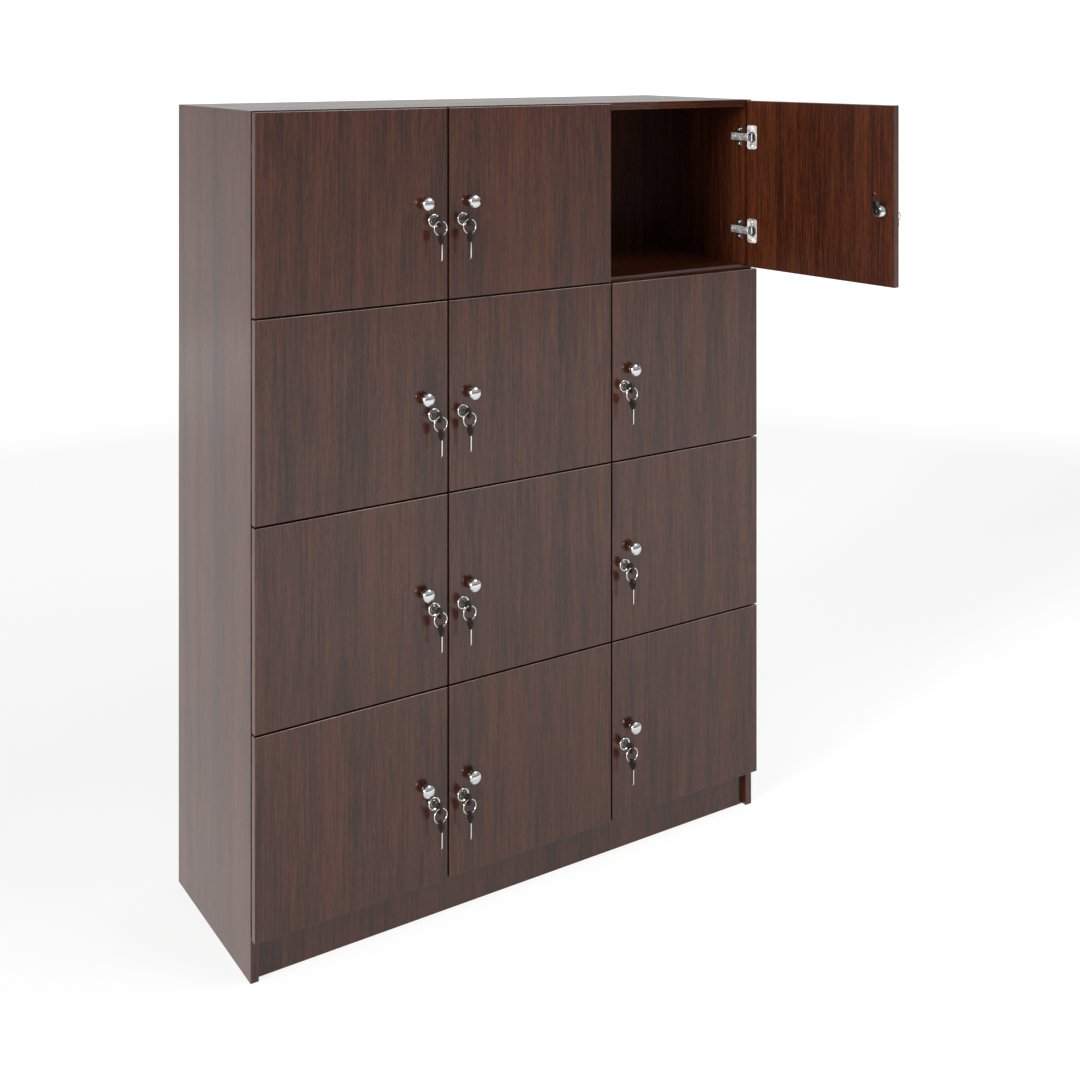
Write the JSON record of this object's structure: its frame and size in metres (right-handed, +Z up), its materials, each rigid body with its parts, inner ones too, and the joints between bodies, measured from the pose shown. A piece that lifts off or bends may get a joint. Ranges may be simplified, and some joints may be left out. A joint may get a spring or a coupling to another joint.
{
  "type": "locker cabinet",
  "caption": "Freestanding office locker cabinet in dark wood laminate, with hinged doors, ball knobs, cam locks, keys on rings, and a recessed plinth.",
  "frame": {"origin": "centre of the plinth board's underside, on the floor", "axes": "+X to the right seen from the front, +Y from the doors to the back panel, +Z up"},
  "size_m": [1.2909, 0.7974, 1.6],
  "materials": {
    "laminate": "dark reddish-brown wenge laminate, fine vertical grain, semi-gloss",
    "beech": "plain turned beech",
    "nickel": "nickel-plated pressed steel",
    "zinc": "bright zinc-plated steel",
    "chrome": "polished chrome plate",
    "lock_metal": "bright nickel plate",
    "key_plastic": "black moulded plastic bow, with a nickel-plated blade"
  },
  "bodies": {
    "carcass": {"side_panel_left": "laminate", "side_panel_right": "laminate", "dividers": "laminate", "top_panel": "laminate", "bottom_panel": "laminate", "shelves": "laminate", "plinth_board": "laminate", "back_panel": "laminate", "hinge_arms": "nickel", "carcass_screws": "zinc", "strike_plates": "nickel", "panel_dowels": "beech"},
    "door_r1c1_body": {"door_r1c1": "laminate", "fittings_r1c1": "chrome"},
    "lock_r1c1_body": {"lock_r1c1": "lock_metal"},
    "spare_key_r1c1_body": {"spare_key_r1c1": "key_plastic"},
    "door_r1c2_body": {"door_r1c2": "laminate", "fittings_r1c2": "chrome"},
    "lock_r1c2_body": {"lock_r1c2": "lock_metal"},
    "spare_key_r1c2_body": {"spare_key_r1c2": "key_plastic"},
    "door_r1c3_body": {"door_r1c3": "laminate", "fittings_r1c3": "chrome"},
    "lock_r1c3_body": {"lock_r1c3": "lock_metal"},
    "spare_key_r1c3_body": {"spare_key_r1c3": "key_plastic"},
    "door_r2c1_body": {"door_r2c1": "laminate", "fittings_r2c1": "chrome"},
    "lock_r2c1_body": {"lock_r2c1": "lock_metal"},
    "spare_key_r2c1_body": {"spare_key_r2c1": "key_plastic"},
    "door_r2c2_body": {"door_r2c2": "laminate", "fittings_r2c2": "chrome"},
    "lock_r2c2_body": {"lock_r2c2": "lock_metal"},
    "spare_key_r2c2_body": {"spare_key_r2c2": "key_plastic"},
    "door_r2c3_body": {"door_r2c3": "laminate", "fittings_r2c3": "chrome"},
    "lock_r2c3_body": {"lock_r2c3": "lock_metal"},
    "spare_key_r2c3_body": {"spare_key_r2c3": "key_plastic"},
    "door_r3c1_body": {"door_r3c1": "laminate", "fittings_r3c1": "chrome"},
    "lock_r3c1_body": {"lock_r3c1": "lock_metal"},
    "spare_key_r3c1_body": {"spare_key_r3c1": "key_plastic"},
    "door_r3c2_body": {"door_r3c2": "laminate", "fittings_r3c2": "chrome"},
    "lock_r3c2_body": {"lock_r3c2": "lock_metal"},
    "spare_key_r3c2_body": {"spare_key_r3c2": "key_plastic"},
    "door_r3c3_body": {"door_r3c3": "laminate", "fittings_r3c3": "chrome"},
    "lock_r3c3_body": {"lock_r3c3": "lock_metal"},
    "spare_key_r3c3_body": {"spare_key_r3c3": "key_plastic"},
    "door_r4c1_body": {"door_r4c1": "laminate", "fittings_r4c1": "chrome"},
    "lock_r4c1_body": {"lock_r4c1": "lock_metal"},
    "spare_key_r4c1_body": {"spare_key_r4c1": "key_plastic"},
    "door_r4c2_body": {"door_r4c2": "laminate", "fittings_r4c2": "chrome"},
    "lock_r4c2_body": {"lock_r4c2": "lock_metal"},
    "spare_key_r4c2_body": {"spare_key_r4c2": "key_plastic"},
    "door_r4c3_body": {"door_r4c3": "laminate", "fittings_r4c3": "chrome"},
    "lock_r4c3_body": {"lock_r4c3": "lock_metal"},
    "spare_key_r4c3_body": {"spare_key_r4c3": "key_plastic"}
  },
  "joints": [
    {"name": "door_r1c1_hinge", "type": "hinge", "parent": "carcass", "child": "door_r1c1_body", "pos_m": [-0.5915, -0.032, 1.41], "axis": [0, 0, -1], "range_deg": [0, 105]},
    {"name": "lock_r1c1_turn", "type": "hinge", "parent": "door_r1c1_body", "child": "lock_r1c1_body", "pos_m": [-0.22983, -0.04, 1.378], "axis": [0, 1, 0], "range_deg": [0, 90]},
    {"name": "spare_key_r1c1_hang", "type": "hinge", "parent": "lock_r1c1_body", "child": "spare_key_r1c1_body", "pos_m": [-0.22983, -0.0679, 1.3656], "axis": [0, 1, 0], "range_deg": [-90, 0]},
    {"name": "door_r1c2_hinge", "type": "hinge", "parent": "carcass", "child": "door_r1c2_body", "pos_m": [0.18733, -0.032, 1.41], "axis": [0, 0, 1], "range_deg": [0, 105]},
    {"name": "lock_r1c2_turn", "type": "hinge", "parent": "door_r1c2_body", "child": "lock_r1c2_body", "pos_m": [-0.16483, -0.04, 1.378], "axis": [0, -1, 0], "range_deg": [0, 90]},
    {"name": "spare_key_r1c2_hang", "type": "hinge", "parent": "lock_r1c2_body", "child": "spare_key_r1c2_body", "pos_m": [-0.16483, -0.0679, 1.3656], "axis": [0, -1, 0], "range_deg": [-90, 0]},
    {"name": "door_r1c3_hinge", "type": "hinge", "parent": "carcass", "child": "door_r1c3_body", "pos_m": [0.5915, -0.032, 1.41], "axis": [0, 0, 1], "range_deg": [-98, 7]},
    {"name": "lock_r1c3_turn", "type": "hinge", "parent": "door_r1c3_body", "child": "lock_r1c3_body", "pos_m": [0.64976, -0.38903, 1.378], "axis": [0.9903, 0.1392, 0], "range_deg": [0, 90]},
    {"name": "spare_key_r1c3_hang", "type": "hinge", "parent": "lock_r1c3_body", "child": "spare_key_r1c3_body", "pos_m": [0.67739, -0.38515, 1.3656], "axis": [0.9903, 0.1392, 0], "range_deg": [-90, 0]},
    {"name": "door_r2c1_hinge", "type": "hinge", "parent": "carcass", "child": "door_r2c1_body", "pos_m": [-0.5915, -0.032, 1.03], "axis": [0, 0, -1], "range_deg": [0, 105]},
    {"name": "lock_r2c1_turn", "type": "hinge", "parent": "door_r2c1_body", "child": "lock_r2c1_body", "pos_m": [-0.22983, -0.04, 0.998], "axis": [0, 1, 0], "range_deg": [0, 90]},
    {"name": "spare_key_r2c1_hang", "type": "hinge", "parent": "lock_r2c1_body", "child": "spare_key_r2c1_body", "pos_m": [-0.22983, -0.0679, 0.9856], "axis": [0, 1, 0], "range_deg": [-90, 0]},
    {"name": "door_r2c2_hinge", "type": "hinge", "parent": "carcass", "child": "door_r2c2_body", "pos_m": [0.18733, -0.032, 1.03], "axis": [0, 0, 1], "range_deg": [0, 105]},
    {"name": "lock_r2c2_turn", "type": "hinge", "parent": "door_r2c2_body", "child": "lock_r2c2_body", "pos_m": [-0.16483, -0.04, 0.998], "axis": [0, -1, 0], "range_deg": [0, 90]},
    {"name": "spare_key_r2c2_hang", "type": "hinge", "parent": "lock_r2c2_body", "child": "spare_key_r2c2_body", "pos_m": [-0.16483, -0.0679, 0.9856], "axis": [0, -1, 0], "range_deg": [-90, 0]},
    {"name": "door_r2c3_hinge", "type": "hinge", "parent": "carcass", "child": "door_r2c3_body", "pos_m": [0.5915, -0.032, 1.03], "axis": [0, 0, 1], "range_deg": [0, 105]},
    {"name": "lock_r2c3_turn", "type": "hinge", "parent": "door_r2c3_body", "child": "lock_r2c3_body", "pos_m": [0.22983, -0.04, 0.998], "axis": [0, -1, 0], "range_deg": [0, 90]},
    {"name": "spare_key_r2c3_hang", "type": "hinge", "parent": "lock_r2c3_body", "child": "spare_key_r2c3_body", "pos_m": [0.22983, -0.0679, 0.9856], "axis": [0, -1, 0], "range_deg": [-90, 0]},
    {"name": "door_r3c1_hinge", "type": "hinge", "parent": "carcass", "child": "door_r3c1_body", "pos_m": [-0.5915, -0.032, 0.65], "axis": [0, 0, -1], "range_deg": [0, 105]},
    {"name": "lock_r3c1_turn", "type": "hinge", "parent": "door_r3c1_body", "child": "lock_r3c1_body", "pos_m": [-0.22983, -0.04, 0.618], "axis": [0, 1, 0], "range_deg": [0, 90]},
    {"name": "spare_key_r3c1_hang", "type": "hinge", "parent": "lock_r3c1_body", "child": "spare_key_r3c1_body", "pos_m": [-0.22983, -0.0679, 0.6056], "axis": [0, 1, 0], "range_deg": [-90, 0]},
    {"name": "door_r3c2_hinge", "type": "hinge", "parent": "carcass", "child": "door_r3c2_body", "pos_m": [0.18733, -0.032, 0.65], "axis": [0, 0, 1], "range_deg": [0, 105]},
    {"name": "lock_r3c2_turn", "type": "hinge", "parent": "door_r3c2_body", "child": "lock_r3c2_body", "pos_m": [-0.16483, -0.04, 0.618], "axis": [0, -1, 0], "range_deg": [0, 90]},
    {"name": "spare_key_r3c2_hang", "type": "hinge", "parent": "lock_r3c2_body", "child": "spare_key_r3c2_body", "pos_m": [-0.16483, -0.0679, 0.6056], "axis": [0, -1, 0], "range_deg": [-90, 0]},
    {"name": "door_r3c3_hinge", "type": "hinge", "parent": "carcass", "child": "door_r3c3_body", "pos_m": [0.5915, -0.032, 0.65], "axis": [0, 0, 1], "range_deg": [0, 105]},
    {"name": "lock_r3c3_turn", "type": "hinge", "parent": "door_r3c3_body", "child": "lock_r3c3_body", "pos_m": [0.22983, -0.04, 0.618], "axis": [0, -1, 0], "range_deg": [0, 90]},
    {"name": "spare_key_r3c3_hang", "type": "hinge", "parent": "lock_r3c3_body", "child": "spare_key_r3c3_body", "pos_m": [0.22983, -0.0679, 0.6056], "axis": [0, -1, 0], "range_deg": [-90, 0]},
    {"name": "door_r4c1_hinge", "type": "hinge", "parent": "carcass", "child": "door_r4c1_body", "pos_m": [-0.5915, -0.032, 0.27], "axis": [0, 0, -1], "range_deg": [0, 105]},
    {"name": "lock_r4c1_turn", "type": "hinge", "parent": "door_r4c1_body", "child": "lock_r4c1_body", "pos_m": [-0.22983, -0.04, 0.238], "axis": [0, 1, 0], "range_deg": [0, 90]},
    {"name": "spare_key_r4c1_hang", "type": "hinge", "parent": "lock_r4c1_body", "child": "spare_key_r4c1_body", "pos_m": [-0.22983, -0.0679, 0.2256], "axis": [0, 1, 0], "range_deg": [-90, 0]},
    {"name": "door_r4c2_hinge", "type": "hinge", "parent": "carcass", "child": "door_r4c2_body", "pos_m": [0.18733, -0.032, 0.27], "axis": [0, 0, 1], "range_deg": [0, 105]},
    {"name": "lock_r4c2_turn", "type": "hinge", "parent": "door_r4c2_body", "child": "lock_r4c2_body", "pos_m": [-0.16483, -0.04, 0.238], "axis": [0, -1, 0], "range_deg": [0, 90]},
    {"name": "spare_key_r4c2_hang", "type": "hinge", "parent": "lock_r4c2_body", "child": "spare_key_r4c2_body", "pos_m": [-0.16483, -0.0679, 0.2256], "axis": [0, -1, 0], "range_deg": [-90, 0]},
    {"name": "door_r4c3_hinge", "type": "hinge", "parent": "carcass", "child": "door_r4c3_body", "pos_m": [0.5915, -0.032, 0.27], "axis": [0, 0, 1], "range_deg": [0, 105]},
    {"name": "lock_r4c3_turn", "type": "hinge", "parent": "door_r4c3_body", "child": "lock_r4c3_body", "pos_m": [0.22983, -0.04, 0.238], "axis": [0, -1, 0], "range_deg": [0, 90]},
    {"name": "spare_key_r4c3_hang", "type": "hinge", "parent": "lock_r4c3_body", "child": "spare_key_r4c3_body", "pos_m": [0.22983, -0.0679, 0.2256], "axis": [0, -1, 0], "range_deg": [-90, 0]}
  ],
  "couplings": [
    {"joint": "spare_key_r1c1_hang", "follows": "lock_r1c1_turn", "ratio": -1},
    {"joint": "spare_key_r1c2_hang", "follows": "lock_r1c2_turn", "ratio": -1},
    {"joint": "spare_key_r1c3_hang", "follows": "lock_r1c3_turn", "ratio": -1},
    {"joint": "spare_key_r2c1_hang", "follows": "lock_r2c1_turn", "ratio": -1},
    {"joint": "spare_key_r2c2_hang", "follows": "lock_r2c2_turn", "ratio": -1},
    {"joint": "spare_key_r2c3_hang", "follows": "lock_r2c3_turn", "ratio": -1},
    {"joint": "spare_key_r3c1_hang", "follows": "lock_r3c1_turn", "ratio": -1},
    {"joint": "spare_key_r3c2_hang", "follows": "lock_r3c2_turn", "ratio": -1},
    {"joint": "spare_key_r3c3_hang", "follows": "lock_r3c3_turn", "ratio": -1},
    {"joint": "spare_key_r4c1_hang", "follows": "lock_r4c1_turn", "ratio": -1},
    {"joint": "spare_key_r4c2_hang", "follows": "lock_r4c2_turn", "ratio": -1},
    {"joint": "spare_key_r4c3_hang", "follows": "lock_r4c3_turn", "ratio": -1}
  ]
}
